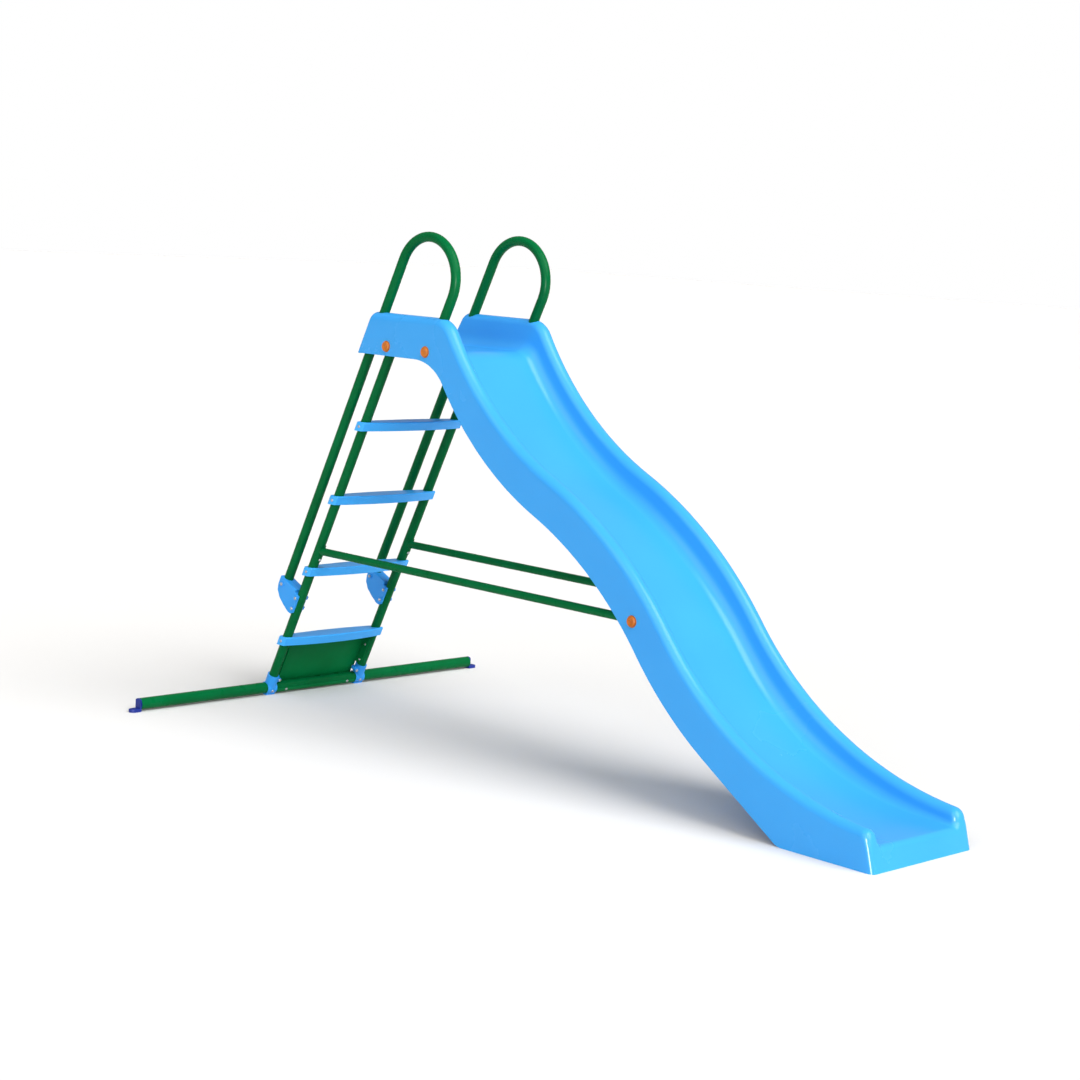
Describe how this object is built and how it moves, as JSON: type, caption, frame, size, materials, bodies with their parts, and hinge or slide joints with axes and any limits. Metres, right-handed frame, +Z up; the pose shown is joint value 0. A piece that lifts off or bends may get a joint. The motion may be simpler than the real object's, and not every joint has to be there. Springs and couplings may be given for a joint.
{
  "type": "wave slide",
  "caption": "Garden wave slide: a moulded two-wave chute with side rails and a seat platform on a leaning tube ladder with hooped handrails, level braces and a ground bar.",
  "frame": {"origin": "on the ground, at the middle of the whole object's footprint", "axes": "+X runs down the slide towards the exit, +Z is up, +Y is the left side of someone sliding down"},
  "size_m": [2.8864, 1.694, 1.7664],
  "materials": {
    "slide_plastic": "gloss moulded polyethylene, sky blue",
    "step_plastic": "gloss moulded polypropylene, sky blue",
    "bracket_plastic": "satin gloss moulded plastic, mid blue",
    "tube_paint": "gloss powder coat, dark green",
    "sheet_paint": "gloss powder coat, dark green",
    "foot_plastic": "satin, dark blue",
    "cap_plastic": "gloss, orange",
    "zinc_steel": "zinc plated"
  },
  "bodies": {
    "root": {"bar_clamp_left_front": "bracket_plastic", "bar_clamp_left_rear": "bracket_plastic", "bar_clamp_right_front": "bracket_plastic", "bar_clamp_right_rear": "bracket_plastic", "bar_foot_left": "foot_plastic", "bar_foot_right": "foot_plastic", "base_bar": "tube_paint", "bolt_caps": "cap_plastic", "brace_left": "tube_paint", "brace_right": "tube_paint", "brace_screws": "zinc_steel", "bracket_bolts": "zinc_steel", "bracket_nuts": "zinc_steel", "clamp_bolts": "zinc_steel", "clamp_nuts": "zinc_steel", "clamp_screws": "zinc_steel", "handrail_left": "tube_paint", "handrail_right": "tube_paint", "kick_panel": "sheet_paint", "panel_screws": "zinc_steel", "rail_bracket_left_inner": "bracket_plastic", "rail_bracket_left_outer": "bracket_plastic", "rail_bracket_right_inner": "bracket_plastic", "rail_bracket_right_outer": "bracket_plastic", "slide_body": "slide_plastic", "slide_bolts": "zinc_steel", "slide_nuts": "zinc_steel", "step_1": "step_plastic", "step_2": "step_plastic", "step_3": "step_plastic", "step_4": "step_plastic", "step_screws": "zinc_steel", "stile_left": "tube_paint", "stile_right": "tube_paint"}
  },
  "joints": []
}
